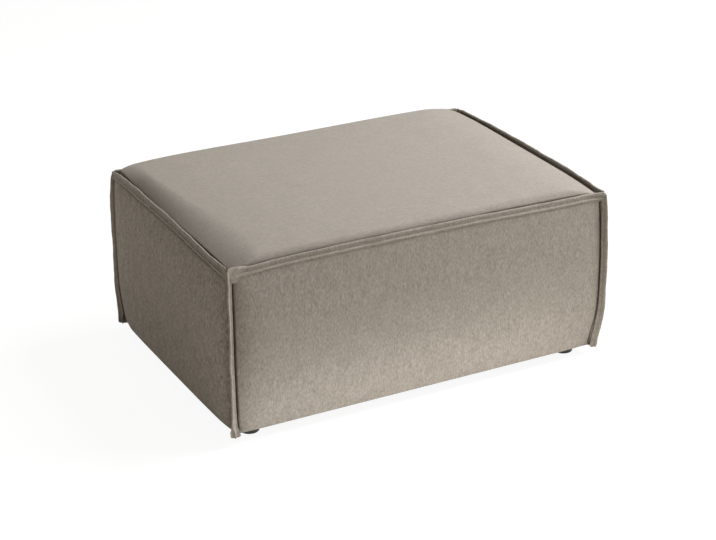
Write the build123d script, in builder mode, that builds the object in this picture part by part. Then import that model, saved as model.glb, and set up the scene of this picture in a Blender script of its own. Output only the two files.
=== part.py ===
"""Upholstered ottoman coffee table: wooden frame, wave springs, foam and a flanged fabric cover.

Lengths are in millimetres. +Z is up, X runs along the long side and the front faces -Y.
The origin is on the floor, under the middle of the table.
"""

import os
from math import cos, pi, radians, sin, sqrt

from build123d import *

# Overall sizes, measured at the root of the seams
seam_length = 976.0
seam_depth = 690.0
body_height = 398.0
foot_height = 25.0

# Clearances: round soft pieces, and round wires and screws
soft_gap = 0.3
fit_gap = 0.1

# Fabric cover
fabric_thickness = 1.5
corner_dip = 10.0
side_crown = 9.0
draw_width = 65.0
lip_width = 24.0
dust_cover_thickness = 1.0
dust_cover_margin = 8.0
dust_cover_corner = 12.0

# Raised flanges along the seams
flange_width = 18.0
flange_thickness = 5.5
flange_lean = 18.0
flange_lift = 0.6
flange_tab_drop = 8.0
flange_turn = 25.0
side_flange_setback = 12.0

# Seat cushion
ledge_width = 6.5
shoulder_width = 45.0
shoulder_rise = 23.0
seat_crown = 7.0
wadding_thickness = 10.0
seat_edge_depth = 106.0
side_foam_thickness = 20.0
felt_thickness = 4.0

# Wooden frame
board_thickness = 3.0
rail_thickness = 22.0
rail_height = 45.0
post_size = 40.0
upright_width = 45.0
stretcher_height = 40.0
block_leg = 130.0
block_thickness = 18.0

# Feet and their screws
foot_radius = 23.5
foot_collar_radius = 25.0
foot_edge = 2.0
foot_collar_height = 4.0
foot_sides = 36
foot_setback_x = 12.0
foot_setback_y = 8.0
foot_screw_radius = 3.0
foot_screw_head_radius = 6.0
foot_screw_head_height = 3.5
foot_screw_recess = 12.0
foot_screw_recess_radius = 9.0
foot_screw_bite = 15.0
foot_screw_sides = 8

# Frame screws
screw_radius = 2.0
screw_head_radius = 4.0
screw_head_height = 2.2
screw_length = 50.0
screw_sides = 6

# Wave springs, their clips and the wires that tie them
spring_count = 5
spring_margin = 111.0
wire_radius = 1.9
wire_sides = 5
loop_radius = 13.0
bar_half_length = 14.0
clip_thickness = 1.2
clip_width = 24.0
clip_tail = 9.0
clip_hook = 3.0
tie_radius = 1.2
tie_overhang = 20.0

# Shares that shape the curves
dip_power = 5
stations_share = 0.45
shoulder_shares = (0.12, 0.5)
shoulder_mid_share = 0.25
tie_place_share = 0.5
ridge_shares = (
    (0.0, 0.75),
    (0.15, 1.0),
    (0.35, 0.6),
    (0.5, 0.84),
    (0.65, 0.6),
    (0.8, 0.95),
    (1.0, 0.4),
)

# Worked out from the sizes above
half_length = seam_length / 2
half_depth = seam_depth / 2
fabric_layer = fabric_thickness + soft_gap
lip_root = fabric_thickness + fit_gap
wadding_layer = fabric_layer + wadding_thickness + soft_gap
hem_height = foot_height + dust_cover_thickness + soft_gap
seam_height = hem_height + body_height
corner_height = seam_height - corner_dip
frame_bottom = hem_height + fabric_layer
rail_top = seam_height - seat_edge_depth
foam_top = corner_height - wadding_layer
shell_depth = fabric_layer + side_foam_thickness + soft_gap
seat_half_length = half_length - shell_depth
seat_half_depth = half_depth - shell_depth
frame_half_length = seat_half_length - board_thickness
frame_half_depth = seat_half_depth - board_thickness
inner_half_length = frame_half_length - rail_thickness
inner_half_depth = frame_half_depth - rail_thickness
block_top = frame_bottom + block_thickness
top_rail_bottom = rail_top - rail_height
bottom_rail_top = frame_bottom + rail_height
wire_height = rail_top + clip_thickness + fit_gap + wire_radius
tie_height = wire_height + wire_radius + fit_gap + tie_radius
felt_bottom = tie_height + tie_radius + soft_gap
seat_foam_bottom = felt_bottom + felt_thickness + soft_gap
foot_x = inner_half_length - foot_setback_x
foot_y = inner_half_depth - foot_setback_y

UP = Vector(0, 0, 1)
CORNERS = {
    "front_left": (-1, -1),
    "front_right": (1, -1),
    "back_left": (-1, 1),
    "back_right": (1, 1),
}
SIDES = {
    "front": (Plane((0, -half_depth, 0), x_dir=(1, 0, 0), z_dir=(0, -1, 0)), half_length),
    "back": (Plane((0, half_depth, 0), x_dir=(-1, 0, 0), z_dir=(0, 1, 0)), half_length),
    "left": (Plane((-half_length, 0, 0), x_dir=(0, -1, 0), z_dir=(-1, 0, 0)), half_depth),
    "right": (Plane((half_length, 0, 0), x_dir=(0, 1, 0), z_dir=(1, 0, 0)), half_depth),
}


def save(part, name):
    """Label a finished piece and write it as its own STEP file."""
    part.label = name
    export_step(part, f"parts/{name}.step")


def seam_z(share):
    """Height of a top seam, which dips towards its corners at share -1 and 1."""
    return seam_height - corner_dip * abs(share) ** dip_power


def side_bulge(corner_distance):
    """How far a side stands out at mid height, this far along from its corner."""
    share = min(1, corner_distance / draw_width)
    return side_crown * (1 - (1 - share) ** 2)


def mirrored_stations(half, distances):
    """Places along a side, from one corner to the other, at these distances from a corner."""
    near = sorted(distances)
    return [distance - half for distance in near] + [0] + [half - d for d in reversed(near)]


def shared_stations(half):
    """Distances from a corner where the sides and the seat are both sectioned."""
    return (shoulder_width, draw_width, half * stations_share)


def side_stations(half, start):
    """Where a side is sectioned: its ends, the mitre of its lip, its drawn-in edge and its arch."""
    mitre = [place for place in (lip_root + soft_gap, lip_width + soft_gap) if place > start]
    return mirrored_stations(half, (start, *mitre, *shared_stations(half)))


def section_plane(side, along):
    """A plane across a side: its x points out of the table and its y points up."""
    return Plane(side.origin + side.x_dir * along, x_dir=side.z_dir, z_dir=-side.x_dir)


def cover_panel(side, half, start):
    """A side panel of the cover, crowned, with a lip that folds in under the frame."""
    with BuildPart() as panel:
        for along in side_stations(half, start):
            reach = half - abs(along)
            top = seam_z(along / half) - fabric_layer
            middle = (hem_height + top) / 2
            bulge = side_bulge(reach)
            lip = min(lip_width, max(reach - soft_gap, lip_root))
            with BuildSketch(section_plane(side, along)):
                with BuildLine():
                    ThreePointArc((0, hem_height), (bulge, middle), (0, top))
                    Line((0, top), (-fabric_thickness, top))
                    ThreePointArc(
                        (-fabric_thickness, top),
                        (bulge - fabric_thickness, middle),
                        (-fabric_thickness, hem_height + fabric_thickness),
                    )
                    Polyline(
                        (-fabric_thickness, hem_height + fabric_thickness),
                        (-lip, hem_height + fabric_thickness),
                        (-lip, hem_height),
                        (0, hem_height),
                    )
                make_face()
        loft(ruled=True)
    return panel.part


def side_foam(side, half, start):
    """The foam pad behind a side panel: flat where it meets the board, crowned outside."""
    with BuildPart() as pad:
        for along in side_stations(half, start):
            bulge = side_bulge(half - abs(along)) - fabric_layer
            middle = (frame_bottom + foam_top) / 2
            inner = -fabric_layer - side_foam_thickness
            with BuildSketch(section_plane(side, along)):
                with BuildLine():
                    ThreePointArc(
                        (-fabric_layer, frame_bottom), (bulge, middle), (-fabric_layer, foam_top)
                    )
                    Polyline(
                        (-fabric_layer, foam_top),
                        (inner, foam_top),
                        (inner, frame_bottom),
                        (-fabric_layer, frame_bottom),
                    )
                make_face()
        loft(ruled=True)
    return pad.part


def shoulder(distance):
    """Share of the shoulder's rise reached at this distance in from the seam."""
    run = min(1, max(0, (distance - ledge_width) / (shoulder_width - ledge_width)))
    return sqrt(1 - (1 - run) ** 2)


def crown_points(along, inset, drop):
    """Points of the seat's curved top at one section, from the front seam to its middle."""
    half = half_length - inset
    width = half_depth - inset
    share = abs(along) / half
    rise = shoulder(half - abs(along))
    arc = ledge_width + (shoulder_width - ledge_width) * shoulder_mid_share

    def height(distance):
        across = 1 - distance / width
        base = max(seam_z(share), seam_z(across)) - drop
        crown = seat_crown * (1 - share**2) * (1 - across**2)
        return base + (shoulder_rise * rise + crown) * shoulder(distance)

    places = (0, ledge_width, arc, shoulder_width, draw_width, width * stations_share, width)
    return [(place - width, height(place)) for place in places]


def crown_curve(points, lower):
    """Draw the curved top from front to back, lowered by this much."""
    front = [(y, z - lower) for y, z in points]
    back = [(-y, z) for y, z in front]
    for start, ledge, arc, shoulder_end, drawn, flank, _ in (front, back):
        Line(start, ledge)
        ThreePointArc(ledge, arc, shoulder_end)
        ThreePointArc(shoulder_end, drawn, flank)
    ThreePointArc(front[-2], front[-1], back[-2])


def seat_stations(half):
    """Where the seat is sectioned: close together over its shoulders, then wide apart."""
    run = shoulder_width - ledge_width
    rising = [ledge_width + run * share for share in shoulder_shares]
    return mirrored_stations(half, (0, ledge_width, *rising, *shared_stations(half)))


def crowned_layer(inset, drop, thickness):
    """A layer of even thickness that follows the seat's crown."""
    with BuildPart() as layer:
        for along in seat_stations(half_length - inset):
            points = crown_points(along, inset, drop)
            front = points[0]
            back = (-front[0], front[1])
            with BuildSketch(Plane((along, 0, 0), x_dir=(0, 1, 0), z_dir=(1, 0, 0))):
                with BuildLine():
                    crown_curve(points, 0)
                    crown_curve(points, thickness)
                    Line(front, (front[0], front[1] - thickness))
                    Line(back, (back[0], back[1] - thickness))
                make_face()
        loft(ruled=True)
    return layer.part


def flange_section(root, outward, facing):
    """One section of a flange: two stitched grooves leave three ridges across its width."""
    half = flange_thickness / 2
    near = [(half * t, flange_width * d) for d, t in ridge_shares]
    far = [(-x, y) for x, y in reversed(near)]
    with BuildSketch(Plane(root, x_dir=facing, z_dir=facing.cross(outward))) as section:
        with BuildLine():
            Polyline(*near, *far, close=True)
        make_face()
    return section.sketch


def top_root(side, half, along):
    """The middle of a flange's root, where it stands on the edge of the top cover."""
    inward = flange_thickness / 2
    lift = flange_lift + inward * sin(radians(flange_lean))
    return side.origin + side.x_dir * along - side.z_dir * inward + UP * (seam_z(along / half) + lift)


def top_sections(side, half, places):
    """Sections of a flange along a top seam, leaning in over the cushion."""
    lean = radians(flange_lean)
    outward = UP * cos(lean) - side.z_dir * sin(lean)
    facing = side.z_dir * cos(lean) + UP * sin(lean)
    return [flange_section(top_root(side, half, place), outward, facing) for place in places]


def corner_sections(side, half, end):
    """Sections of a flange up one corner, pointing out diagonally, and round its top."""
    away = side.x_dir * end
    outward = (away + side.z_dir).normalized()
    facing = (side.z_dir - away).normalized()
    corner = side.origin + away * half + outward * soft_gap
    heights = (hem_height - flange_tab_drop, corner_height - flange_turn)
    upright = [flange_section(corner + UP * height, outward, facing) for height in heights]
    turn_outward = (away + UP + side.z_dir / 2).normalized()
    turn_facing = (side.z_dir * 2 - (away + UP) / 2).normalized()
    turn = flange_section(corner + UP * (corner_height + flange_lift), turn_outward, turn_facing)
    return [*upright, turn]


def framing_flange(side, half):
    """The flange round a front or back panel: up one corner, along the top and down the other."""
    places = [place for place in seat_stations(half) if half - abs(place) >= flange_turn]
    with BuildPart() as flange:
        loft(
            sections=[
                *corner_sections(side, half, -1),
                *top_sections(side, half, places),
                *reversed(corner_sections(side, half, 1)),
            ],
            ruled=True,
        )
    return flange.part


def side_flange(side, half):
    """The flange along the top of a short side, between the two framing flanges."""
    ends = half - side_flange_setback
    places = [place for place in seat_stations(half) if half - abs(place) >= flange_turn]
    with BuildPart() as flange:
        loft(sections=top_sections(side, half, (-ends, *places, ends)), ruled=True)
    return flange.part


def wave_path(x_place):
    """Points along a wave spring, from the front clip to the back clip."""
    span = 2 * (frame_half_depth - rail_thickness / 2)
    bars = 2 * int(span / (4 * loop_radius)) + 1
    pitch = span / (bars - 1)
    reach = loop_radius * cos(pi / 6)
    points = []
    for bar in range(bars):
        y_place = -span / 2 + bar * pitch
        hand = 1 if bar % 2 else -1
        points.append((x_place - hand * bar_half_length, y_place, wire_height))
        points.append((x_place + hand * bar_half_length, y_place, wire_height))
        if bar < bars - 1:
            outside = x_place + hand * (bar_half_length + reach)
            points.append((outside, y_place + pitch / 4, wire_height))
            points.append((outside, y_place + 3 * pitch / 4, wire_height))
    return points


os.makedirs("parts", exist_ok=True)

# Side panels of the cover, with the foam and the boards behind them
for name, (side, half) in SIDES.items():
    long_side = half == half_length
    panel_start = lip_root + soft_gap if long_side else soft_gap
    foam_start = fabric_layer if long_side else shell_depth
    save(cover_panel(side, half, panel_start), f"{name}_cover")
    save(side_foam(side, half, foam_start), f"{name}_foam")
    board_half = seat_half_length if long_side else frame_half_depth
    board_offset = -shell_depth - board_thickness
    with BuildPart() as board:
        with BuildSketch(side.offset(board_offset)):
            with Locations((0, (frame_bottom + rail_top) / 2)):
                Rectangle(2 * board_half, rail_top - frame_bottom)
        extrude(amount=board_thickness)
    save(board.part, f"{name}_board")

# Top cover, the wadding under it and the seat foam
save(crowned_layer(0, 0, fabric_thickness), "top_cover")
save(crowned_layer(fabric_layer, fabric_layer, wadding_thickness), "seat_wadding")

with BuildPart() as seat_foam:
    for along in seat_stations(half_length - fabric_layer):
        points = crown_points(along, fabric_layer, wadding_layer)
        front = points[0]
        back = (-front[0], front[1])
        with BuildSketch(Plane((along, 0, 0), x_dir=(0, 1, 0), z_dir=(1, 0, 0))):
            with BuildLine():
                crown_curve(points, 0)
                Polyline(
                    front,
                    (front[0], seat_foam_bottom),
                    (back[0], seat_foam_bottom),
                    back,
                )
            make_face()
    loft(ruled=True)
    with BuildSketch(Plane.XY):
        Rectangle(2 * seat_half_length, 2 * seat_half_depth)
    extrude(amount=2 * seam_height, mode=Mode.INTERSECT)
save(seat_foam.part, "seat_foam")

# Flanges: one frames the front panel, one the back, and two run along the short sides
for name in ("front", "back"):
    side, half = SIDES[name]
    save(framing_flange(side, half), f"{name}_flange")
for name in ("left", "right"):
    side, half = SIDES[name]
    save(side_flange(side, half), f"{name}_flange")

# Felt that spreads the load over the springs
with BuildPart() as spring_felt:
    with BuildSketch(Plane.XY.offset(felt_bottom)):
        Rectangle(2 * seat_half_length, 2 * seat_half_depth)
    extrude(amount=felt_thickness)
save(spring_felt.part, "spring_felt")

# Wave springs across the depth of the frame
spring_pitch = 2 * (inner_half_length - spring_margin) / (spring_count - 1)
spring_places = [(n - (spring_count - 1) / 2) * spring_pitch for n in range(spring_count)]
for number, x_place in enumerate(spring_places, start=1):
    path = wave_path(x_place)
    with BuildPart() as spring:
        with BuildLine():
            Polyline(*path)
        with BuildSketch(Plane(path[0], x_dir=(0, 1, 0), z_dir=(1, 0, 0))):
            RegularPolygon(radius=wire_radius, side_count=wire_sides)
        sweep(transition=Transition.RIGHT)
    save(spring.part, f"wave_spring_{number}")

# Clips that hold the end bar of each spring on its rail
clip_y = frame_half_depth - rail_thickness / 2
clip_rise = 2 * (wire_radius + fit_gap) + clip_thickness
clip_front = wire_radius + fit_gap
with BuildPart() as spring_clips:
    for hand in (-1, 1):
        outline = Plane((0, hand * clip_y, rail_top), x_dir=(0, hand, 0), z_dir=(hand, 0, 0))
        for x_place in spring_places:
            with BuildSketch(outline.offset(hand * x_place - clip_width / 2)):
                with BuildLine():
                    Polyline(
                        (-clip_tail, 0),
                        (clip_front + clip_thickness, 0),
                        (clip_front + clip_thickness, clip_rise + clip_thickness),
                        (-clip_hook, clip_rise + clip_thickness),
                        (-clip_hook, clip_rise),
                        (clip_front, clip_rise),
                        (clip_front, clip_thickness),
                        (-clip_tail, clip_thickness),
                        close=True,
                    )
                make_face()
            extrude(amount=clip_width)
save(spring_clips.part, "spring_clips")

# Wires laid across the springs to keep them in line
tie_length = (spring_count - 1) * spring_pitch + 2 * tie_overhang
with BuildPart() as tie_wires:
    for hand in (-1, 1):
        tie_y = hand * clip_y * tie_place_share
        with BuildSketch(Plane((-tie_length / 2, tie_y, tie_height), x_dir=(0, 1, 0), z_dir=(1, 0, 0))):
            RegularPolygon(radius=tie_radius, side_count=wire_sides)
        extrude(amount=tie_length)
save(tie_wires.part, "tie_wires")

# Rails of the bottom and top rings, drilled for the screws at their corners
screw_spread = rail_height / 2
screw_x = frame_half_length - rail_thickness / 2
for level, bottom in (("bottom", frame_bottom), ("top", top_rail_bottom)):
    middle = bottom + rail_height / 2
    screw_heights = (middle - screw_spread / 2, middle + screw_spread / 2)
    for name in ("front", "back"):
        side, half = SIDES[name]
        outer = side.offset(frame_half_depth - half_depth)
        with BuildPart() as rail:
            with BuildSketch(outer):
                with Locations((0, middle)):
                    Rectangle(2 * frame_half_length, rail_height)
            extrude(amount=-rail_thickness)
            holes = [(end * screw_x, z) for end in (-1, 1) for z in screw_heights]
            with BuildSketch(outer):
                with Locations(*holes):
                    RegularPolygon(radius=screw_radius + fit_gap, side_count=screw_sides)
            extrude(amount=-rail_thickness, mode=Mode.SUBTRACT)
            with BuildSketch(Plane(outer.origin, x_dir=outer.x_dir, z_dir=-outer.z_dir)):
                with Locations(*[(x, -z) for x, z in holes]):
                    RegularPolygon(radius=screw_head_radius + fit_gap, side_count=screw_sides)
            extrude(amount=screw_head_height + fit_gap, taper=45, mode=Mode.SUBTRACT)
        save(rail.part, f"{level}_{name}_rail")
    for name in ("left", "right"):
        side, half = SIDES[name]
        rail_x = side.z_dir.X * screw_x
        with BuildPart() as rail:
            with BuildSketch(side.offset(frame_half_length - half_length)):
                with Locations((0, middle)):
                    Rectangle(2 * inner_half_depth, rail_height)
            extrude(amount=-rail_thickness)
            for end in (-1, 1):
                mouth = (rail_x, end * inner_half_depth, 0)
                with BuildSketch(Plane(mouth, x_dir=(end, 0, 0), z_dir=(0, -end, 0))):
                    with Locations(*[(0, z) for z in screw_heights]):
                        RegularPolygon(radius=screw_radius + fit_gap, side_count=screw_sides)
                extrude(amount=screw_length - rail_thickness + fit_gap, mode=Mode.SUBTRACT)
        save(rail.part, f"{level}_{name}_rail")

# Corner posts, each standing on the block that its foot is screwed to
for name, (across, along) in CORNERS.items():
    corner_x = across * inner_half_length
    corner_y = along * inner_half_depth
    with BuildPart() as block:
        with BuildSketch(Plane.XY.offset(frame_bottom)):
            with BuildLine():
                Polyline(
                    (corner_x, corner_y),
                    (corner_x - across * block_leg, corner_y),
                    (corner_x, corner_y - along * block_leg),
                    close=True,
                )
            make_face()
            with Locations((across * foot_x, along * foot_y)):
                RegularPolygon(
                    radius=foot_screw_radius + fit_gap,
                    side_count=foot_screw_sides,
                    mode=Mode.SUBTRACT,
                )
        extrude(amount=block_thickness)
    save(block.part, f"{name}_block")

    with BuildPart() as post:
        with BuildSketch(Plane.XY.offset(block_top)):
            with Locations((corner_x - across * post_size / 2, corner_y - along * post_size / 2)):
                Rectangle(post_size, post_size)
        extrude(amount=rail_top - block_top)
    save(post.part, f"{name}_post")

# Uprights in the middle of each side
for name, (side, half) in SIDES.items():
    frame_half = frame_half_depth if half == half_length else frame_half_length
    own_half = half_depth if half == half_length else half_length
    with BuildPart() as upright:
        with BuildSketch(side.offset(frame_half - own_half)):
            with Locations((0, (bottom_rail_top + top_rail_bottom) / 2)):
                Rectangle(upright_width, top_rail_bottom - bottom_rail_top)
        extrude(amount=-rail_thickness)
    save(upright.part, f"{name}_upright")

# Cross rail between the bottom rails, and the stretcher that takes the pull of the springs
cross_members = {
    "bottom_cross_rail": (frame_bottom, rail_height),
    "spring_stretcher": (top_rail_bottom - stretcher_height, stretcher_height),
}
for name, (bottom, height) in cross_members.items():
    with BuildPart() as member:
        with BuildSketch(Plane.XY.offset(bottom)):
            Rectangle(rail_thickness, 2 * inner_half_depth)
        extrude(amount=height)
    save(member.part, name)

# Dust cover that closes the underside, under the lips of the side panels
with BuildPart() as dust_cover:
    with BuildSketch(Plane.XY.offset(foot_height)):
        RectangleRounded(
            seam_length - 2 * dust_cover_margin,
            seam_depth - 2 * dust_cover_margin,
            dust_cover_corner,
        )
        with Locations(*[(across * foot_x, along * foot_y) for across, along in CORNERS.values()]):
            RegularPolygon(
                radius=foot_screw_radius + fit_gap,
                side_count=foot_screw_sides,
                mode=Mode.SUBTRACT,
            )
    extrude(amount=dust_cover_thickness)
save(dust_cover.part, "dust_cover")

# Round feet, each with a collar under the dust cover and a recess for the head of its screw
foot_holes = (
    (foot_screw_recess, foot_screw_recess_radius),
    (foot_height, foot_screw_radius + fit_gap),
)
for name, (across, along) in CORNERS.items():
    centre = Plane((across * foot_x, along * foot_y, 0))
    with BuildPart() as foot:
        with BuildSketch(centre):
            RegularPolygon(radius=foot_radius, side_count=foot_sides)
        extrude(amount=foot_height - foot_collar_height)
        chamfer(foot.faces().sort_by(Axis.Z)[0].edges(), foot_edge)
        with BuildSketch(centre.offset(foot_height - foot_collar_height)):
            RegularPolygon(radius=foot_collar_radius, side_count=foot_sides)
        extrude(amount=foot_collar_height)
        for depth, radius in foot_holes:
            with BuildSketch(centre):
                RegularPolygon(radius=radius, side_count=foot_screw_sides)
            extrude(amount=depth, mode=Mode.SUBTRACT)
    save(foot.part, f"{name}_foot")

# Screws that hold the feet on
with BuildPart() as foot_screws:
    for across, along in CORNERS.values():
        with BuildSketch(Plane((across * foot_x, along * foot_y, foot_screw_recess))):
            RegularPolygon(radius=foot_screw_radius, side_count=foot_screw_sides)
        extrude(amount=frame_bottom + foot_screw_bite - foot_screw_recess)
        with BuildSketch(Plane((across * foot_x, along * foot_y, foot_screw_recess))):
            RegularPolygon(radius=foot_screw_head_radius, side_count=foot_screw_sides)
        extrude(amount=-foot_screw_head_height)
save(foot_screws.part, "foot_screws")

# Screws through the long rails into the ends of the short rails
with BuildPart() as frame_screws:
    for bottom in (frame_bottom, top_rail_bottom):
        middle = bottom + rail_height / 2
        for across, along in CORNERS.values():
            for height in (middle - screw_spread / 2, middle + screw_spread / 2):
                head = (across * screw_x, along * frame_half_depth, height)
                with BuildSketch(Plane(head, x_dir=(1, 0, 0), z_dir=(0, -along, 0))):
                    RegularPolygon(radius=screw_radius, side_count=screw_sides)
                extrude(amount=screw_length)
                with BuildSketch(Plane(head, x_dir=(1, 0, 0), z_dir=(0, -along, 0))):
                    RegularPolygon(radius=screw_head_radius, side_count=screw_sides)
                extrude(amount=screw_head_height, taper=45)
save(frame_screws.part, "frame_screws")
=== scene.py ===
"""Upholstered ottoman coffee table, dressed for its photograph.

Lengths are in metres. +Z is up, X runs along the long side and the front faces -Y.
"""

from math import cos, pi, radians, sin

import bmesh
import bpy
import numpy as np
from mathutils import Matrix, Vector


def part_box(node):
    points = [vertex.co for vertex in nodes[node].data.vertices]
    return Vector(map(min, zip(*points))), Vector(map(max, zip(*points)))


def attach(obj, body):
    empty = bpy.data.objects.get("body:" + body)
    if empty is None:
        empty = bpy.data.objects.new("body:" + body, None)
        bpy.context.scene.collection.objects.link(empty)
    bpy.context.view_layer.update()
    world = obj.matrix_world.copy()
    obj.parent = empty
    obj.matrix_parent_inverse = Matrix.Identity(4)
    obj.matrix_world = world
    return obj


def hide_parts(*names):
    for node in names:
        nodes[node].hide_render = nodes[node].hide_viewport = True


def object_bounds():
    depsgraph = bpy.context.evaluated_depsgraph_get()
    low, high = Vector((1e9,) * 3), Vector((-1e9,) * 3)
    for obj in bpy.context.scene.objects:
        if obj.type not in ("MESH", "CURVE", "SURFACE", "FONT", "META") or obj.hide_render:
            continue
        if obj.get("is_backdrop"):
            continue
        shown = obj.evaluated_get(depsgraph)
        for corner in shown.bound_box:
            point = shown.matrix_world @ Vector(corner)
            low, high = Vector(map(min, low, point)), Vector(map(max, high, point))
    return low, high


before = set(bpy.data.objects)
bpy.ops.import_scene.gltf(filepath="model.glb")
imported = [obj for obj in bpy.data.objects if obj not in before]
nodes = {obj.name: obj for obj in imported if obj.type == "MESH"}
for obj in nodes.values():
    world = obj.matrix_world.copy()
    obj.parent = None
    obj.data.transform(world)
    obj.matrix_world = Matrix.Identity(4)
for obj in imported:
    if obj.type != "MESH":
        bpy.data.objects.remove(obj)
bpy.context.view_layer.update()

# Sizes of the cover, read from the frame
fabric = 0.0015
fabric_gap = 0.0003
half_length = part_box("top_cover")[1].x
half_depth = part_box("top_cover")[1].y
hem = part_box("front_cover")[0].z
seam_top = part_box("front_cover")[1].z + fabric + fabric_gap
corner_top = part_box("top_cover")[0].z + fabric
foam_back = half_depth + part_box("front_board")[0].y
dust_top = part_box("dust_cover")[1].z
corner_dip = seam_top - corner_top
dip_power = 5

# Side panels
side_crown = 0.016
draw_width = 0.085
mitre_run = 0.03
hem_roll = 0.005
# Each side's roll under its top seam, and how squarely it is filled up and down
SIDE_FILLS = {"front": (0.005, 2.6), "back": (0.005, 2.6), "left": (0.008, 5), "right": (0.008, 5)}
# The round that both panels have beside each corner, as its depth and width
CORNER_ROLLS = {
    "front_left": (0.013, 0.046),
    "front_right": (0.013, 0.013),
    "back_left": (0.014, 0.014),
    "back_right": (0.012, 0.012),
}
lip_width = 0.024
pull_height = 0.16
# How far the panels stay from each other at the corners and from the seams above them
panel_gap = 0.0004
top_gap = 0.0008

# How far each top seam hangs below its even line, as (share along the side, drop) pairs
SEAM_DROPS = {
    "front": (
        (-1, 0.0),
        (-0.85, 0.002),
        (-0.1, 0.003),
        (0.25, 0.0045),
        (0.45, 0.007),
        (0.68, 0.0095),
        (0.85, 0.007),
        (1, 0.002),
    ),
    "back": ((-1, 0.0), (-0.7, 0.004), (0.6, 0.004), (0.88, 0.009), (1, 0.001)),
    "left": ((-1, 0.0), (0.1, 0.0005), (0.3, 0.003), (0.46, 0.0065), (0.8, 0.0085), (1, 0.003)),
    "right": ((-1, 0.0), (0.2, 0.0), (0.5, 0.003), (0.85, 0.004), (1, 0.001)),
}
# Steps of the share over which a drop is averaged, so that the seam has no kinks
DROP_STEPS = (-0.1, -0.05, 0, 0.05, 0.1)
# How far the middle of each side stands out beyond its corners
SIDE_BOWS = {"front": 0.0, "back": 0.0, "left": 0.005, "right": 0.0}
bow_power = 4

# Seat cushion
pad_top = 0.4565
seat_crown = 0.002
left_fullness = 0.004
# Its edges: how far in they start, a wall behind the flange, a roll's rise, width and power,
# and a slope's run
PAD_EDGES = {
    "front": (0.0085, 0.012, 0.013, 0.014, 2.2, 0.12),
    "back": (0.0045, 0.012, 0.015, 0.022, 2.0, 0.12),
    "left": (0.0125, 0.002, 0.023, 0.04, 2.0, 0.18),
    "right": (0.0045, 0.0, 0.006, 0.012, 2.0, 0.15),
}
# How much wider the left roll is at the front and how much higher its wall is at the back,
# and how square the cushion's corners are
left_widening = 0.044
left_back_wall = 0.016
corner_power = 5
# Where along the table these changes begin and end
widening_span = (-0.3, 0.25)
back_wall_span = (0.2, 0.34)
fullness_span = (-0.38, 0.0)

# Flanges: two stitched grooves leave three ridges across the width
flange_width = 0.018
flange_thickness = 0.0055
flange_lean = radians(5)
flange_inset = 0.0014
corner_radius = 0.010
ear_run = 0.045
# How far a flange's root stands above the seam, and the run over which it settles inward
seam_lift = 0.0006
settle_run = 0.02
# Slight waves of a flange: their size, and each one's radians to the metre, multiple of the
# phase and share of the size
flange_wave = 0.0008
WAVES = ((38, 1, 1), (83, 2, 0.6), (191, 3, 0.3))
# What share of the ear's reach a flange's tip keeps outward, and the run over which it leans back
frame_ear = (0.3, 0.035)
end_ear = (0.9, 0.04)
# The end flanges start this far in from the corner, with their tips this far below the ear
end_start = 0.003
end_drop = 0.0005
# An ear's lift begins this far below the corner's top and would end this far above it
lift_span = (0.05, 0.02)
ridge_shares = (
    (-0.45, 0.3),
    (-0.04, 0.45),
    (0.14, 1.75),
    (0.3, 0.66),
    (0.42, 0.56),
    (0.5, 0.68),
    (0.58, 0.56),
    (0.8, 1.0),
    (1.0, 0.7),
)
groove_shares = (0.42, 0.58)
tip_share = 0.93
# The ends below the hem: how high they are, how much they swell, how far their tip is notched,
# the height over which they close and how small they close to
tab_height = 0.036
tab_flare = 1.8
tab_notch = 0.16
tab_round = 0.006
tab_least = 0.12

# Topstitching: rows of short threads that stop where a flange swells
stitch_pitch = 0.0052
stitch_length = 0.0038
thread_radius = 0.00032
thread_sides = 6
stitch_lift = 0.35
stitch_swell = 1.05
# A stitch dips into the cloth at both ends: (share of its length, height in thread radii)
STITCH = ((-0.5, -1.6), (-0.3, 0.1), (0, 0.4), (0.3, 0.1), (0.5, -1.6))

# Corners: how far the flange stands out at its ear and how high the ear is, how far the
# hem's end is drawn in, how far the flange drops below it and how square the ear is
CORNERS = {
    "front_left": (0.010, 0.443, 0.003, 0.003, 9),
    "front_right": (0.0085, 0.431, 0.013, 0.008, 5),
    "back_left": (0.005, 0.434, 0.007, 0.008, 2.3),
    "back_right": (0.003, 0.428, 0.01, 0.007, 4),
}
# How far a corner stands out halfway up, along X and along Y, and how far its flange turns
# from the diagonal towards the end of the table above the hem
CORNER_BOWS = {
    "front_left": (0.0015, 0.001, radians(-6)),
    "front_right": (0.0045, 0.003, radians(-28)),
    "back_left": (0.003, 0.0, radians(-30)),
    "back_right": (0.002, 0.002, 0.0),
}

# Camera, from the photograph's perspective
image_width = 716
sensor_width = 36
focal_pixels = 1990.75
camera_yaw = radians(-27.54)
camera_pitch = radians(24.22)
camera_roll = radians(-0.52)
camera_place = (0.00568, 0.17842, 5.00267)

rng = np.random.default_rng(7)


def smooth(value, start, end):
    """0 before start, 1 after end and an even ramp between them."""
    share = np.clip((value - start) / (end - start), 0, 1)
    return share * share * (3 - 2 * share)


def seam_z(side, share):
    """Height of a side's top seam, which dips towards its corners at share -1 and 1."""
    places, drops = zip(*SEAM_DROPS[side])
    drop = np.mean([np.interp(share + step, places, drops) for step in DROP_STEPS], axis=0)
    return seam_top - corner_dip * np.abs(share) ** dip_power - drop


def side_bow(side, share):
    """How far a side stands out at this share of its length."""
    return SIDE_BOWS[side] * (1 - np.abs(share) ** bow_power)


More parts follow.
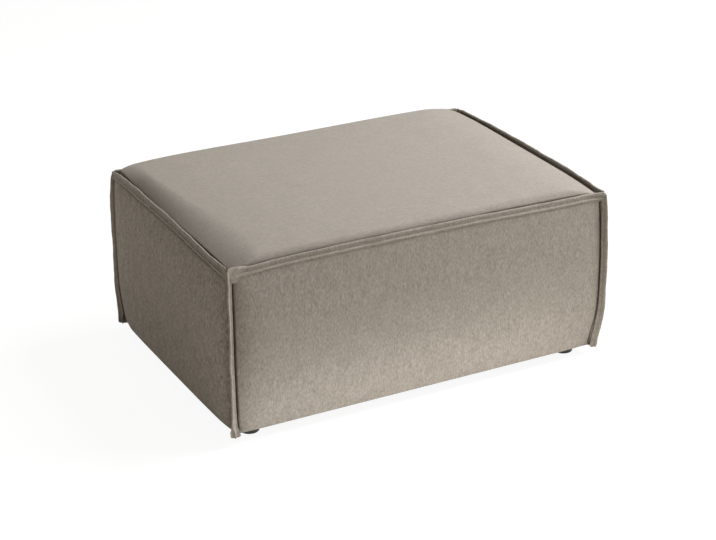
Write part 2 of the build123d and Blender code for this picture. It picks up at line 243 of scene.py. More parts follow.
def add_mesh(name, points, faces, material, flat=False):
    """A mesh piece that rides on the table."""
    mesh = bpy.data.meshes.new(name)
    mesh.from_pydata(np.asarray(points, float).reshape(-1, 3).tolist(), [], faces)
    bm = bmesh.new()
    bm.from_mesh(mesh)
    bmesh.ops.recalc_face_normals(bm, faces=bm.faces)
    bm.to_mesh(mesh)
    bm.free()
    if not flat:
        mesh.shade_smooth()
    mesh.materials.append(material)
    piece = bpy.data.objects.new(name, mesh)
    bpy.context.scene.collection.objects.link(piece)
    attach(piece, "root")
    return piece


def tube_faces(rings, size):
    """Faces between closed rings of points, with a cap on each end."""
    faces = []
    for ring in range(rings - 1):
        for place in range(size):
            after = (place + 1) % size
            low = ring * size
            faces.append((low + place, low + after, low + size + after, low + size + place))
    faces.append(tuple(range(size)))
    faces.append(tuple((rings - 1) * size + place for place in range(size)))
    return faces


def add_tube(name, rings, material):
    """A closed piece through rings of points that have the same size."""
    rings = np.asarray(rings)
    return add_mesh(name, rings, tube_faces(len(rings), rings.shape[1]), material)


def add_lathe(name, centre, profile, segments, material):
    """A turned piece: its profile is a closed line of (radius, height) pairs."""
    rings = []
    x, y = centre[:2]
    for step in range(segments):
        c, s = cos(2 * pi * step / segments), sin(2 * pi * step / segments)
        rings.append([(x + radius * c, y + radius * s, z) for radius, z in profile])
    size = len(profile)
    faces = []
    for step in range(segments):
        low = step * size
        high = (step + 1) % segments * size
        for place in range(size - 1):
            faces.append((low + place, low + place + 1, high + place + 1, high + place))
    piece = add_mesh(name, rings, faces, material)
    bm = bmesh.new()
    bm.from_mesh(piece.data)
    bmesh.ops.remove_doubles(bm, verts=bm.verts, dist=1e-6)
    bmesh.ops.recalc_face_normals(bm, faces=bm.faces)
    bm.to_mesh(piece.data)
    bm.free()
    return piece


# Materials


def new_material(name):
    """A Principled material: the material, its node tree and its shader."""
    material = bpy.data.materials.new(name)
    material.use_nodes = True
    return material, material.node_tree, material.node_tree.nodes["Principled BSDF"]


def noise_value(tree, scale, stretch=(1, 1, 1), detail=2.0, roughness=0.5):
    """Noise in the object's own coordinates, stretched along an axis."""
    place = tree.nodes.new("ShaderNodeTexCoord")
    mapping = tree.nodes.new("ShaderNodeMapping")
    mapping.inputs["Scale"].default_value = [scale * s for s in stretch]
    tree.links.new(place.outputs["Object"], mapping.inputs["Vector"])
    noise = tree.nodes.new("ShaderNodeTexNoise")
    noise.inputs["Scale"].default_value = 1
    noise.inputs["Detail"].default_value = detail
    noise.inputs["Roughness"].default_value = roughness
    tree.links.new(mapping.outputs["Vector"], noise.inputs["Vector"])
    return noise.outputs["Fac"]


def ramp(tree, value, stops):
    """A colour ramp through (position, colour) stops."""
    node = tree.nodes.new("ShaderNodeValToRGB")
    elements = node.color_ramp.elements
    elements[0].position, elements[0].color = stops[0][0], (*stops[0][1], 1)
    elements[1].position, elements[1].color = stops[-1][0], (*stops[-1][1], 1)
    for position, colour in stops[1:-1]:
        elements.new(position).color = (*colour, 1)
    tree.links.new(value, node.inputs["Fac"])
    return node.outputs["Color"]


def multiply(tree, first, second, share):
    """One colour multiplied by another, by this share."""
    node = tree.nodes.new("ShaderNodeMix")
    node.data_type = "RGBA"
    node.blend_type = "MULTIPLY"
    node.inputs["Factor"].default_value = share
    tree.links.new(first, node.inputs["A"])
    tree.links.new(second, node.inputs["B"])
    return node.outputs["Result"]


def add_values(tree, first, second, weight):
    """First value plus weight times the second."""
    node = tree.nodes.new("ShaderNodeMath")
    node.operation = "MULTIPLY_ADD"
    node.inputs[1].default_value = weight
    tree.links.new(second, node.inputs[0])
    tree.links.new(first, node.inputs[2])
    return node.outputs["Value"]


def bump(tree, shader, height, distance, strength=1.0):
    """Small relief in the shader's normal."""
    node = tree.nodes.new("ShaderNodeBump")
    node.inputs["Distance"].default_value = distance
    node.inputs["Strength"].default_value = strength
    tree.links.new(height, node.inputs["Height"])
    tree.links.new(node.outputs["Normal"], shader.inputs["Normal"])


# Length of one wave of the texture at a scale of 1
unit_wave = 0.314


def weave_value(tree, period, axis):
    """Threads across one axis."""
    place = tree.nodes.new("ShaderNodeTexCoord")
    wave = tree.nodes.new("ShaderNodeTexWave")
    wave.bands_direction = axis
    wave.inputs["Scale"].default_value = unit_wave / period
    wave.inputs["Distortion"].default_value = 3
    wave.inputs["Detail"].default_value = 1
    wave.inputs["Detail Scale"].default_value = 1.5
    tree.links.new(place.outputs["Object"], wave.inputs["Vector"])
    return wave.outputs["Fac"]


fabric_colour = (0.475, 0.436, 0.392)
pale = (1, 1, 1)
# Colour of the painted shade that darkens the cloth in creases, seams and between parts
painted_shade_colour = (0.25, 0.23, 0.2)
fleck_colour = (0.78, 0.77, 0.75)
cloud_colour = (0.955, 0.955, 0.955)
# Patterns to the metre
fleck_scale = 1400
blotch_scale = 85
cloud_scale = 20
thread_pitch = 0.0012
weave_depth = 0.00022


def heathered_fabric(name, grain, threads, contrast, painted_shade):
    """Heathered flat weave of mixed yarns, with a grain along one direction and a fine relief.

    Painted shade: the last argument gives how near a wall has to be to darken the cloth's colour in
    creases, seams and between parts, and how open the cloth is where that painted shade is deepest and
    where it ends.
    """
    material, tree, shader = new_material(name)
    streaks = noise_value(tree, 1, grain, detail=3)
    flecks = noise_value(tree, fleck_scale, detail=1)
    blotches = noise_value(tree, blotch_scale, [share / max(grain) for share in grain], detail=2)
    clouds = noise_value(tree, cloud_scale, detail=2)
    dark = [part * (1 - contrast) for part in fabric_colour]
    light = [part * (1 + contrast) for part in fabric_colour]
    blotch_colour = [1 - contrast * 0.4] * 3
    colour = ramp(tree, streaks, [(0.3, dark), (0.7, light)])
    colour = multiply(tree, colour, ramp(tree, blotches, [(0.35, blotch_colour), (0.65, pale)]), 1.0)
    colour = multiply(tree, colour, ramp(tree, flecks, [(0.3, fleck_colour), (0.6, pale)]), 0.6)
    colour = multiply(tree, colour, ramp(tree, clouds, [(0.3, cloud_colour), (0.7, pale)]), 1.0)
    reach, shut, clear = painted_shade
    # Painted shade: ambient occlusion darkens the base colour where walls close round the cloth
    shade = tree.nodes.new("ShaderNodeAmbientOcclusion")
    shade.samples = 8
    shade.inputs["Distance"].default_value = reach
    painted_shading = ramp(tree, shade.outputs["AO"], [(shut, painted_shade_colour), (clear, pale)])
    colour = multiply(tree, colour, painted_shading, 1.0)
    tree.links.new(colour, shader.inputs["Base Color"])
    shader.inputs["Roughness"].default_value = 0.92
    shader.inputs["Specular IOR Level"].default_value = 0.15
    shader.inputs["Sheen Weight"].default_value = 0.25
    shader.inputs["Sheen Roughness"].default_value = 0.5
    shader.inputs["Sheen Tint"].default_value = (0.8, 0.76, 0.7, 1)
    warp, weft = (weave_value(tree, thread_pitch, axis) for axis in threads)
    height = add_values(tree, warp, weft, 1)
    height = add_values(tree, height, streaks, 1.2)
    bump(tree, shader, height, weave_depth, 0.6)
    return material


def grained(name, base, dark, stretch, scale, roughness, relief, metallic=0.0):
    """Timber, board, felt, thread, plastic or steel: a two-tone grain with its own relief."""
    material, tree, shader = new_material(name)
    grain = noise_value(tree, scale, stretch, detail=5, roughness=0.6)
    tree.links.new(ramp(tree, grain, [(0.3, dark), (0.7, base)]), shader.inputs["Base Color"])
    tree.links.new(
        ramp(tree, grain, [(0.2, [roughness * 0.85] * 3), (0.8, [min(1, roughness * 1.1)] * 3)]),
        shader.inputs["Roughness"],
    )
    shader.inputs["Metallic"].default_value = metallic
    bump(tree, shader, grain, relief, 0.5)
    return material


side_grain = (330, 330, 120)
seat_grain = (110, 230, 230)
# One fabric in copies that differ in grain contrast and painted shade; the left end's copy has the
# widest and darkest painted shade, for that side's darker corners
side_fabric = heathered_fabric("side_fabric", side_grain, ("X", "Z"), 0.22, (0.017, 0.17, 0.72))
seam_fabric = heathered_fabric("seam_fabric", side_grain, ("Y", "Z"), 0.3, (0.014, 0.14, 0.66))
shaded_end_fabric = heathered_fabric("shaded_end_fabric", side_grain, ("Y", "Z"), 0.4, (0.045, 0.35, 0.97))
seat_fabric = heathered_fabric("seat_fabric", seat_grain, ("X", "Y"), 0.1, (0.018, 0.35, 0.86))

even = (1, 1, 1)
along_x = (1, 6, 6)
zinc_light, zinc_dark = (0.66, 0.66, 0.64), (0.52, 0.52, 0.5)
foot_light, foot_dark = (0.024, 0.019, 0.016), (0.016, 0.013, 0.011)
# Each with its light and dark colour, stretch, scale, roughness, relief and metal share
thread = grained("thread", (0.34, 0.31, 0.27), (0.28, 0.25, 0.22), even, 900, 0.8, 0.0001)
timber = grained("timber", (0.62, 0.47, 0.3), (0.5, 0.35, 0.2), along_x, 14, 0.7, 0.0003)
hardboard = grained("hardboard", (0.36, 0.24, 0.14), (0.27, 0.17, 0.1), even, 300, 0.75, 0.0002)
spring_steel = grained("spring_steel", (0.3, 0.3, 0.31), (0.2, 0.2, 0.21), even, 120, 0.38, 0.00005, 1.0)
zinc_steel = grained("zinc_steel", zinc_light, zinc_dark, even, 200, 0.32, 0.00005, 1.0)
foot_plastic = grained("foot_plastic", foot_light, foot_dark, even, 700, 0.45, 0.00012)
dust_fabric = grained("dust_fabric", (0.05, 0.05, 0.052), (0.028, 0.028, 0.03), even, 1100, 0.9, 0.0003)
felt = grained("felt", (0.42, 0.41, 0.4), (0.26, 0.26, 0.27), even, 420, 0.95, 0.0006)


# Side panels: closed pads, crowned outside, with a lip that folds in under the frame

to_right = Vector((1, 0, 0))
to_back = Vector((0, 1, 0))
# Each side's direction along, direction outward, half width, distance out and two corners
SIDES = {
    "front": (to_right, -to_back, half_length, half_depth, ("front_left", "front_right")),
    "back": (-to_right, to_back, half_length, half_depth, ("back_right", "back_left")),
    "left": (-to_back, -to_right, half_depth, half_length, ("back_left", "front_left")),
    "right": (to_back, to_right, half_depth, half_length, ("front_right", "back_right")),
}


def corner_shift(z, corner, side):
    """How far a corner stands out along a side and across it at this height."""
    pull = CORNERS[corner][2] * (1 - smooth(z, hem, hem + pull_height)) ** 2 / 2**0.5
    share = np.clip((z - hem) / (corner_top - hem), 0, 1)
    bulge = np.sin(pi * share)
    bow_x, bow_y, _ = CORNER_BOWS[corner]
    shifts = (bow_x * bulge - pull, bow_y * bulge - pull)
    return shifts if side in ("front", "back") else shifts[::-1]


def quarter(distance, radius):
    """Fall of a rounded edge this far in from it."""
    share = np.clip(distance / radius, 0, 1)
    return radius * (1 - np.sqrt(1 - (1 - share) ** 2))


def panel_rise(side, room, share):
    """How far a panel stands out, this far from its nearer corner and up its height."""
    along = 1 - (1 - np.clip(room / draw_width, 0, 1)) ** 2
    up = 1 - np.abs(2 * share - 1) ** SIDE_FILLS[side][1]
    return side_crown * along * up


def panel_profile(top, top_roll):
    """Closed outline of a panel's section: (outward, height, softness)."""
    points = []
    for place in np.linspace(-lip_width, -hem_roll, 5):
        points.append((place, hem, 0))
    for angle in np.linspace(0, pi / 2, 9)[1:]:
        points.append((hem_roll * (sin(angle) - 1), hem + hem_roll * (1 - cos(angle)), sin(angle)))
    for z in np.linspace(hem + hem_roll, top - top_roll, 60)[1:-1]:
        points.append((0, z, 1))
    for angle in np.linspace(0, pi / 2, 8):
        points.append((top_roll * (cos(angle) - 1), top - top_roll * (1 - sin(angle)), cos(angle)))
    points.append((-foam_back, top, 0))
    points.append((-foam_back, hem + fabric, 0))
    points.append((-lip_width, hem + fabric, 0))
    return points


def spread(low_end, high_end):
    """Places from one end of a side to the other, close together near both."""
    fine = np.linspace(0, 0.008, 11)
    medium = np.linspace(0.0092, 0.02, 9)
    wide = np.linspace(0.0235, 0.1, 22)
    near = np.concatenate([fine, medium, wide])
    middle = np.linspace(low_end + 0.11, high_end - 0.11, 79)
    return np.concatenate([low_end + near, middle, high_end - near[::-1]])


def panel_point(side, along, outward, z, softness):
    """A point of a panel: crowned, rounded towards its corners and mitred inside them."""
    u, n, half, reach, corners = SIDES[side]
    room = half - abs(along)
    share = np.clip((z - hem) / (seam_z(side, along / half) - hem), 0, 1)
    weight = (1 - smooth(room, 0, draw_width)) * softness
    corner = corners[int(along > 0)]
    shift_along, shift_out = corner_shift(z, corner, side)
    depth, width = CORNER_ROLLS[corner]
    fall = quarter(room, width) * depth / width
    out = outward + (panel_rise(side, room, share) - fall) * softness
    mitre = (1 - smooth(room, 0, mitre_run)) * max(0.0, -out)
    place = np.sign(along) * (abs(along) - mitre + shift_along * weight)
    out += shift_out * weight + side_bow(side, along / half) * softness
    return u * place + n * (reach + out) + Vector((0, 0, z))


def add_panel(side, material):
    """One side panel as a padded piece."""
    half = SIDES[side][2]
    rings = []
    for along in spread(panel_gap - half, half - panel_gap):
        room = half - abs(along)
        top = float(seam_z(side, along / half) - quarter(room, corner_radius)) - top_gap
        profile = panel_profile(top, SIDE_FILLS[side][0])
        rings.append([panel_point(side, along, *place) for place in profile])
    piece = add_tube(f"{side}_panel", rings, material)
    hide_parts(f"{side}_cover", f"{side}_foam")


PANEL_FABRICS = {"front": side_fabric, "back": side_fabric, "left": shaded_end_fabric, "right": seam_fabric}
for side, material in PANEL_FABRICS.items():
    add_panel(side, material)


# Seat cushion: one crowned pad inside the flanges

full_rise = pad_top - seat_crown - seam_top


def edge_height(room, side, widening=0.0, lift=0.0):
    """Height above the seam this far in from a side: a wall, a roll and then a long slope."""
    inset, wall, rise, width, power, run = PAD_EDGES[side]
    roll = np.clip((room - inset) / (width + widening), 0, 1)
    slope = np.clip((room - inset) / run, 0, 1)
    low, top = wall + lift, wall + rise
    rolled = low + (top - low) * (1 - (1 - roll) ** power)
    return rolled + (full_rise - top) * (1 - (1 - slope) ** 2)


def seat_z(x, y):
    """Height of the seat over this place."""
    across, along = np.abs(y) / half_depth, np.abs(x) / half_length
    base = seam_top - corner_dip * (across * along) ** dip_power
    if x < 0:
        lift = left_back_wall * smooth(y, *back_wall_span)
        widening = left_widening * (1 - smooth(y, *widening_span))
        ends = edge_height(half_length + x, "left", widening, lift)
    else:
        ends = edge_height(half_length - x, "right")
    sides = edge_height(half_depth - np.abs(y), "front" if y < 0 else "back")
    gaps = (1 - ends / full_rise) ** corner_power + (1 - sides / full_rise) ** corner_power
    edge = full_rise * np.maximum(0, 1 - gaps ** (1 / corner_power))
    crown = seat_crown * (1 - along**2) * (1 - across**2)
    crown += left_fullness * (1 - smooth(x, *fullness_span))
    return base + edge * (1 + crown / full_rise)


pad_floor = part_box("seat_foam")[0].z
skirt_low = corner_top - 0.012
ledge = corner_top - 0.014
foam_y = half_depth - foam_back
rings = []
y_places = spread(PAD_EDGES["front"][0] - half_depth, half_depth - PAD_EDGES["back"][0])
for x in spread(PAD_EDGES["left"][0] - half_length, half_length - PAD_EDGES["right"][0]):
    ring = [(x, y, seat_z(x, y)) for y in y_places]
    ring += [(x, y_places[-1], skirt_low), (x, foam_y, ledge), (x, foam_y, pad_floor)]
    ring += [(x, -foam_y, pad_floor), (x, -foam_y, ledge), (x, y_places[0], skirt_low)]
    rings.append(ring)
seat_pad = add_tube("seat_pad", rings, seat_fabric)
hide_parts("top_cover", "seat_wadding", "seat_foam")


# Flanges: each station has a root, a vector to the tip, a facing, a swell and a shrink


def ridge(share):
    """Half thickness of a flange at this share of its width."""
    places, sizes = zip(*ridge_shares)
    after = int(np.clip(np.searchsorted(places, share, side="right"), 1, len(places) - 1))
    step = smooth(share, places[after - 1], places[after])
    return flange_thickness / 2 * (sizes[after - 1] + (sizes[after] - sizes[after - 1]) * step)


def flange_outline():
    """Points round a flange's section: (share of the width, side offset, notch)."""
    shares = np.linspace(ridge_shares[0][0], tip_share, 36)
    near = [(s, ridge(s), 0.0) for s in shares]
    end = ridge(tip_share)
    angles = np.linspace(0, pi, 11)[1:-1]
    tip = [(tip_share + (1 - tip_share) * sin(a), end * cos(a), sin(a)) for a in angles]
    far = [(s, -t, 0.0) for s, t, _ in reversed(near)]
    return near + tip + far


def flange_rings(stations):
    """Rings of a flange from its stations."""
    outline = flange_outline()
    rings = []
    for root, width, facing, swell, shrink in stations:
        ring = []
        for share, offset, notch in outline:
            share -= notch * tab_notch * (swell - 1)
            share = 0.5 + (share - 0.5) * shrink
            ring.append(root + width * share + facing * (offset * swell * shrink))
        rings.append(ring)
    return rings


def mix(first, second, share):
    """First at share 0 and second at share 1."""
    return first + (second - first) * share


def corner_stations(corner):
    """Root and tip of a framing flange up one corner, as (along, outward, height) pairs."""
    ear_out, ear_top, _, drop, power = CORNERS[corner]
    top = corner_top + seam_lift
    arc_foot = top - corner_radius
    pairs = []
    # Stations lie closer together at the hem and below the ear
    low_part = np.linspace(hem - drop, hem + 0.035, 34)
    middle_part = np.linspace(hem + 0.04, top - 0.085, 30)
    high_part = np.linspace(top - 0.08, arc_foot, 24)
    for z in np.concatenate([low_part, middle_part, high_part]):
        along, out = (float(shift) for shift in corner_shift(z, corner, "front"))
        lift = float(smooth(z, top - lift_span[0], top + lift_span[1]))
        turn = pi / 4 - CORNER_BOWS[corner][2] * float(smooth(z, hem - drop, hem + pull_height))
        reach_along, reach_out = flange_width * cos(turn), flange_width * sin(turn)
        tip = (along + mix(reach_along, ear_out, lift), out + mix(reach_out, ear_out, lift), z)
        pairs.append(((along, out, z), tip))
    foot_along, foot_out = pairs[-1][1][:2]
    for angle in np.linspace(0, pi / 2, 17)[1:]:
        c, s = cos(angle), sin(angle)
        norm = (c**power + s**power) ** (1 / power)
        share = float(smooth(angle, 0, pi / 2))
        out = mix(foot_along, ear_out, share)
        root = (corner_radius * (c - 1), 0, arc_foot + corner_radius * s)
        tip_out = -corner_radius + (corner_radius + out) * c / norm
        tip_face = mix(foot_out, ear_out * frame_ear[0], share)
        pairs.append((root, (tip_out, tip_face, arc_foot + (ear_top - arc_foot) * s / norm)))
    return pairs


def top_stations(side, corner, hand):
    """Root and tip of a flange along a top seam, from a corner in to the middle of its side."""
    ear_out, ear_top = CORNERS[corner][:2]
    half = SIDES[side][2]
    pairs = []
    run = half - corner_radius
    near_part, far_part = np.linspace(0, 0.1, 34)[1:], np.linspace(0.105, run, 80)
    ear_keep, face_run = frame_ear
    for reach_in in np.concatenate([near_part, far_part]):
        share = hand * (run - reach_in) / half
        z = float(seam_z(side, share)) + seam_lift
        full_z = z + flange_width * cos(flange_lean)
        tip_z = mix(ear_top, full_z, float(smooth(reach_in, 0, ear_run)))
        lean = -flange_width * sin(flange_lean)
        tip_face = mix(ear_out * ear_keep, lean, float(smooth(reach_in, 0, face_run)))
        settle = flange_inset * float(smooth(reach_in, 0, settle_run)) - side_bow(side, share)
        out = -corner_radius - reach_in
        pairs.append(((out, -settle, z), (out, tip_face - settle, tip_z)))
    return pairs


def side_end_stations(side, corner, hand):
    """Root and tip of an end flange, from its corner to the middle of its side."""
    ear_out, ear_top = CORNERS[corner][:2]
    half = SIDES[side][2]
    pairs = []
    near_part, far_part = np.linspace(end_start, 0.1, 40), np.linspace(0.105, half, 70)
    ear_keep, face_run = end_ear
    for room in np.concatenate([near_part, far_part]):
        share = hand * (half - room) / half
        z = float(seam_z(side, share) - quarter(room, corner_radius)) + seam_lift
        full_z = float(seam_z(side, share)) + seam_lift + flange_width * cos(flange_lean)
        tip_z = mix(ear_top - end_drop, full_z, float(smooth(room, end_start, ear_run)))
        lean = -flange_width * sin(flange_lean)
        tip_face = mix(ear_out * ear_keep, lean, float(smooth(room, end_start, face_run)))
        settle = flange_inset * float(smooth(room, 0, settle_run)) - side_bow(side, share)
        pairs.append(((-room, -settle, z), (-room, tip_face - settle, tip_z)))
    return pairs


def placed(side, hand, pairs):
    """Root and tip points in the room, at the end of a side that hand (-1 or 1) names."""
    u, n, half, reach, _ = SIDES[side]

    def point(along, out, z):
        return u * (hand * (half + along)) + n * (reach + out) + Vector((0, 0, z))

    return [(point(*root), point(*tip)) for root, tip in pairs]


def finish_stations(pairs, phase, tabs):
    """Stations from root and tip points, with a slight wave and, at tabs, swollen round ends."""
    stations = []
    running = 0.0
    for index, (root, tip) in enumerate(pairs):
        before, after = pairs[max(index - 1, 0)][0], pairs[min(index + 1, len(pairs) - 1)][0]
        running += (root - before).length
        facing = (after - before).cross(tip - root).normalized()
        wave = sum(size * sin(running * rate + times * phase) for rate, times, size in WAVES)
        tip = tip + facing * (flange_wave * wave)
        swell = shrink = 1.0
        if tabs:
            low = pairs[0][0].z if index < len(pairs) / 2 else pairs[-1][0].z
            swell = 1 + tab_flare * (1 - float(smooth(root.z, low + 0.001, low + tab_height)))
            end_share = 1 - min(1.0, (root.z - low) / tab_round)
            shrink = max(tab_least, (1 - end_share**2) ** 0.5)
        stations.append((root, tip - root, facing, swell, shrink))
    return stations


def framing_stations(side, phase):
    """Stations of a framing flange: up a corner, along the top seam and down the other corner."""
    near, far = SIDES[side][4]
    first = placed(side, -1, corner_stations(near) + top_stations(side, near, -1))
    second = placed(side, 1, corner_stations(far) + top_stations(side, far, 1))
    return finish_stations(first + second[:-1][::-1], phase, True)


def side_stations(side, phase):
    """Stations of an end flange, along its top seam from one framing flange to the other."""
    near, far = SIDES[side][4]
    first = placed(side, -1, side_end_stations(side, near, -1))
    second = placed(side, 1, side_end_stations(side, far, 1))
    return finish_stations(first + second[:-1][::-1], phase, False)


def arc_lengths(points):
    """Running length along points."""
    steps = [0.0] + [(b - a).length for a, b in zip(points, points[1:])]
    return np.cumsum(steps)


def add_stitches(name, stations):
    """Two rows of topstitching in the grooves on both faces of a flange."""
    stations = [station for station in stations if station[3] < stitch_swell]
    verts, faces = [], []
    for share in groove_shares:
        for hand in (-1, 1):
            depth = hand * (ridge(share) + thread_radius * stitch_lift)
            line = [root + width * share + facing * depth for root, width, facing, _, _ in stations]
            lengths = arc_lengths(line)
            normals = [station[2] * hand for station in stations]
            for number in range(int(lengths[-1] / stitch_pitch)):
                add_stitch(verts, faces, line, normals, lengths, (number + 0.5) * stitch_pitch)
    add_mesh(name, verts, faces, thread)


def add_stitch(verts, faces, line, normals, lengths, middle):
    """One stitch, as a short tube round a line of points."""
    first = len(verts)
    for offset, depth in STITCH:
        place = middle + offset * stitch_length
        index = int(np.clip(np.searchsorted(lengths, place), 1, len(lengths) - 1))
        share = (place - lengths[index - 1]) / max(lengths[index] - lengths[index - 1], 1e-9)
        point = line[index - 1].lerp(line[index], float(np.clip(share, 0, 1)))
        normal = normals[index]
        tangent = (line[index] - line[index - 1]).normalized()
        across = tangent.cross(normal)
        for corner in range(thread_sides):
            angle = 2 * pi * corner / thread_sides
            ray = normal * (cos(angle) * thread_radius) + across * (sin(angle) * thread_radius)
            verts.append(point + normal * (depth * thread_radius) + ray)
    for face in tube_faces(len(STITCH), thread_sides):
        faces.append(tuple(first + index for index in face))


for side in SIDES:
    make = framing_stations if side in ("front", "back") else side_stations
    stations = make(side, float(rng.uniform(0, 2 * pi)))
    material = side_fabric if side in ("front", "back") else seam_fabric
    flange = add_tube(f"{side}_seam_flange", flange_rings(stations), material)
    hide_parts(f"{side}_flange")
    add_stitches(f"{side}_stitches", stations)


# Feet

foot_radius = 0.0235
foot_round = 0.002
collar_radius = 0.025
collar_height = 0.004
foot_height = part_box("front_left_foot")[1].z
screw_radius = 0.0032
recess_radius = 0.009
recess_depth = 0.012
recess_bevel = 0.0008
small_round = 0.0006
collar_foot = foot_height - collar_height
# A shallow groove round the sole, as (radius, height) pairs
sole_groove = [(0.0165, 0), (0.017, 0.0006), (0.0185, 0.0006), (0.019, 0)]
foot_profile = [
    (screw_radius, recess_depth),
    (recess_radius - small_round, recess_depth),
    (recess_radius, recess_depth - small_round),
    (recess_radius, recess_bevel),
    (recess_radius + recess_bevel, 0),
]
foot_profile += sole_groove
for angle in np.linspace(0, pi / 2, 6):
    foot_profile.append((foot_radius - foot_round * (1 - sin(angle)), foot_round * (1 - cos(angle))))
foot_profile += [
    (foot_radius + 0.0002, collar_foot - 0.0012),
    (foot_radius + 0.0008, collar_foot - 0.0003),
    (collar_radius - 0.0005, collar_foot),
    (collar_radius, collar_foot + small_round),
    (collar_radius, foot_height - small_round),
    (collar_radius - small_round, foot_height),
    (screw_radius, foot_height),
    (screw_radius, recess_depth),
]
foot_segments = 72
for corner in ("front_left", "front_right", "back_left", "back_right"):
    low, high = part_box(f"{corner}_foot")
    centre = (low + high) / 2
    name = f"{corner}_round_foot"
    foot = add_lathe(name, centre, foot_profile, foot_segments, foot_plastic)
    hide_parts(f"{corner}_foot")


# Dust cover: a stretched sheet whose edge is turned under and stapled

sheet_thickness = 0.0005
fold_width = 0.013
fold_thickness = 0.0003
sheet_sag = 0.0012
low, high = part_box("dust_cover")


def sheet_places(low_end, high_end, count):
    """Places across the sheet, with one each side of the end of its turned edges."""
    edge = np.array((0, fold_width - 0.001, fold_width + 0.0005))
    middle = np.linspace(low_end + 0.02, high_end - 0.02, count)
    return np.concatenate([low_end + edge, middle, high_end - edge[::-1]])


columns = sheet_places(low.x, high.x, 110)
lines = sheet_places(low.y, high.y, 78)
top_rows, bottom_rows = [], []
for x in columns:
    for y in lines:
        edge = min(x - low.x, high.x - x, y - low.y, high.y - y)
        sag = sheet_sag * (1 - (x / high.x) ** 2) * (1 - (y / high.y) ** 2)
        fold = fold_thickness if edge < fold_width else 0.0
        top_rows.append((x, y, dust_top - sag))
        bottom_rows.append((x, y, dust_top - sag - sheet_thickness - fold))
count = len(lines)
faces = []
for i in range(len(columns) - 1):
    for j in range(count - 1):
        a = i * count + j
        faces.append((a, a + 1, a + count + 1, a + count))
total = len(top_rows)
faces += [tuple(total + v for v in face) for face in faces]
border = [i * count for i in range(len(columns))]
border += [(len(columns) - 1) * count + j for j in range(1, count)]
border += [i * count + count - 1 for i in range(len(columns) - 2, -1, -1)]
border += [j for j in range(count - 2, 0, -1)]
for a, b in zip(border, border[1:] + border[:1]):
    faces.append((a, b, total + b, total + a))
dust_sheet = add_mesh("dust_sheet", top_rows + bottom_rows, faces, dust_fabric)
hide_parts("dust_cover")


# Staples that hold the dust cover, set round its edge at slightly uneven angles

staple_crown = 0.010
staple_wire = 0.0007
staple_leg = 0.0035
staple_pitch = 0.065
staple_inset = 0.007
staple_turn = 0.22
staple_shift = 0.002
staple_sink = 0.4
# Where the row of staples starts and ends, from the corners of the sheet
staple_start = 0.04
staple_end = 0.03
# A staple's line: (share of the crown, height)
staple_line = (
    (-0.5, staple_leg),
    (-0.5, 0.0003),
    (-0.45, 0),
    (0.45, 0),
    (0.5, 0.0003),
    (0.5, staple_leg),
)


def add_staples():
    """Wire staples under the turned edge of the dust cover, as one piece."""
    places = []
    for hand in (-1, 1):
        for x in np.arange(low.x + staple_start, high.x - staple_end, staple_pitch):
            places.append((x, hand * (high.y - staple_inset), 0.0))
        for y in np.arange(low.y + staple_start, high.y - staple_end, staple_pitch):
            places.append((hand * (high.x - staple_inset), y, pi / 2))
    under = dust_top - sheet_thickness - fold_thickness - staple_wire * staple_sink
    verts, faces = [], []
    for x, y, angle in places:
        angle += rng.uniform(-staple_turn, staple_turn)
        line = Vector((cos(angle), sin(angle), 0))
        across = Vector((-line.y, line.x, 0))
        centre = Vector((x + rng.uniform(-staple_shift, staple_shift), y, under))
        inner = staple_wire / 2
        first = len(verts)
        for share, lift in staple_line:
            upright = abs(share) == 0.5
            ray = line * (-np.sign(share)) if upright else Vector((0, 0, 1))
            middle = centre + line * (share * staple_crown) + Vector((0, 0, lift))
            for side_hand, rise in ((-1, -1), (1, -1), (1, 1), (-1, 1)):
                verts.append(middle + across * (side_hand * inner) + ray * (rise * inner))
        for face in tube_faces(len(staple_line), 4):
            faces.append(tuple(first + index for index in face))
    add_mesh("dust_cover_staples", verts, faces, zinc_steel, flat=True)


add_staples()


# Materials of the frame inside

FINISHES = {
    timber: ("rail", "post", "upright", "block", "stretcher"),
    hardboard: ("board",),
    spring_steel: ("wave_spring", "tie_wires", "spring_clips"),
    zinc_steel: ("screws",),
    felt: ("felt",),
}
for name, node in nodes.items():
    for material, words in FINISHES.items():
        if any(word in name for word in words):
            node.data.materials.clear()
            node.data.materials.append(material)


# Camera

level_right = Vector((cos(camera_yaw), sin(camera_yaw), 0))
back = Vector((sin(camera_yaw), -cos(camera_yaw), 0)) * cos(camera_pitch)
back.z = sin(camera_pitch)
level_up = back.cross(level_right)
right = level_right * cos(camera_roll) + level_up * sin(camera_roll)
up = back.cross(right)
place = right * camera_place[0] + up * camera_place[1] + back * camera_place[2]
camera_data = bpy.data.cameras.new("camera")
camera_data.sensor_width = sensor_width
camera_data.lens = sensor_width * focal_pixels / image_width
camera_data.clip_end = 50
camera = bpy.data.objects.new("camera", camera_data)
camera.matrix_world = Matrix.Translation(place) @ Matrix((right, up, back)).transposed().to_4x4()
bpy.context.scene.collection.objects.link(camera)
bpy.context.scene.camera = camera


# Floor, world and lamps

floor_colour = (0.88, 0.835, 0.76, 1)
seen_floor_colour = (0.17, 0.17, 0.17, 1)
seen_floor_glow = 0.92
world_colour = (0.157, 0.144, 0.126, 1)


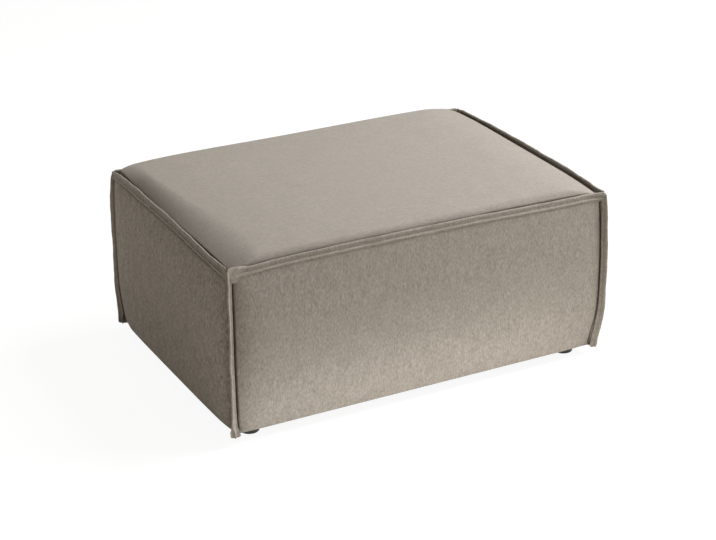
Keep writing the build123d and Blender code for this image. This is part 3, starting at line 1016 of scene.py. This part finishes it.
def add_floor():
    """A pale floor that shows white to the camera and keeps the table's shadow."""
    mesh = bpy.data.meshes.new("floor")
    corners = [(-30, -30, 0), (30, -30, 0), (30, 30, 0), (-30, 30, 0)]
    mesh.from_pydata(corners, [], [(0, 1, 2, 3)])
    floor = bpy.data.objects.new("floor", mesh)
    bpy.context.scene.collection.objects.link(floor)
    material, tree, shader = new_material("floor")
    shader.inputs["Roughness"].default_value = 0.9
    shader.inputs["Specular IOR Level"].default_value = 0
    shader.inputs["Emission Color"].default_value = (1, 1, 1, 1)
    path = tree.nodes.new("ShaderNodeLightPath")
    seen = tree.nodes.new("ShaderNodeMath")
    seen.operation = "MAXIMUM"
    tree.links.new(path.outputs["Is Camera Ray"], seen.inputs[0])
    tree.links.new(path.outputs["Is Glossy Ray"], seen.inputs[1])
    colour = tree.nodes.new("ShaderNodeMix")
    colour.data_type = "RGBA"
    colour.inputs["A"].default_value = floor_colour
    colour.inputs["B"].default_value = seen_floor_colour
    tree.links.new(seen.outputs["Value"], colour.inputs["Factor"])
    tree.links.new(colour.outputs["Result"], shader.inputs["Base Color"])
    level = tree.nodes.new("ShaderNodeMath")
    level.operation = "MULTIPLY"
    level.inputs[1].default_value = seen_floor_glow
    tree.links.new(seen.outputs["Value"], level.inputs[0])
    tree.links.new(level.outputs["Value"], shader.inputs["Emission Strength"])
    mesh.materials.append(material)
    floor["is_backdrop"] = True


def set_world():
    """An even pale surround, white where the camera sees it."""
    world = bpy.data.worlds.new("studio")
    world.use_nodes = True
    tree = world.node_tree
    sky = tree.nodes["Background"]
    sky.inputs["Strength"].default_value = 1
    path = tree.nodes.new("ShaderNodeLightPath")
    pick = tree.nodes.new("ShaderNodeMix")
    pick.data_type = "RGBA"
    pick.inputs["A"].default_value = world_colour
    pick.inputs["B"].default_value = (1, 1, 1, 1)
    tree.links.new(path.outputs["Is Camera Ray"], pick.inputs["Factor"])
    tree.links.new(pick.outputs["Result"], sky.inputs["Color"])
    bpy.context.scene.world = world


def add_lamp(name, place, aim, size, power):
    """A large soft lamp that points at a place and isn't seen itself."""
    data = bpy.data.lights.new(name, "AREA")
    data.shape = "RECTANGLE"
    data.size, data.size_y = size
    data.energy = power
    lamp = bpy.data.objects.new(name, data)
    lamp.location = place
    lamp.visible_camera = False
    lamp.rotation_mode = "QUATERNION"
    lamp.rotation_quaternion = (Vector(aim) - Vector(place)).to_track_quat("-Z", "Y")
    bpy.context.scene.collection.objects.link(lamp)


add_floor()
set_world()
add_lamp("key", (2.2, -0.6, 2.9), (0, 0, 0.3), (2.6, 2.6), 153)
add_lamp("fill", (-1.9, 1.4, 0.9), (-0.49, 0.05, 0.25), (1.2, 1.2), 4.0)
add_lamp("bounce", (-0.06, -0.53, 0.02), (-0.06, -0.35, 0.06), (1.0, 0.06), 0.62)

scene = bpy.context.scene
scene.view_settings.view_transform = "Standard"

low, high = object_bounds()
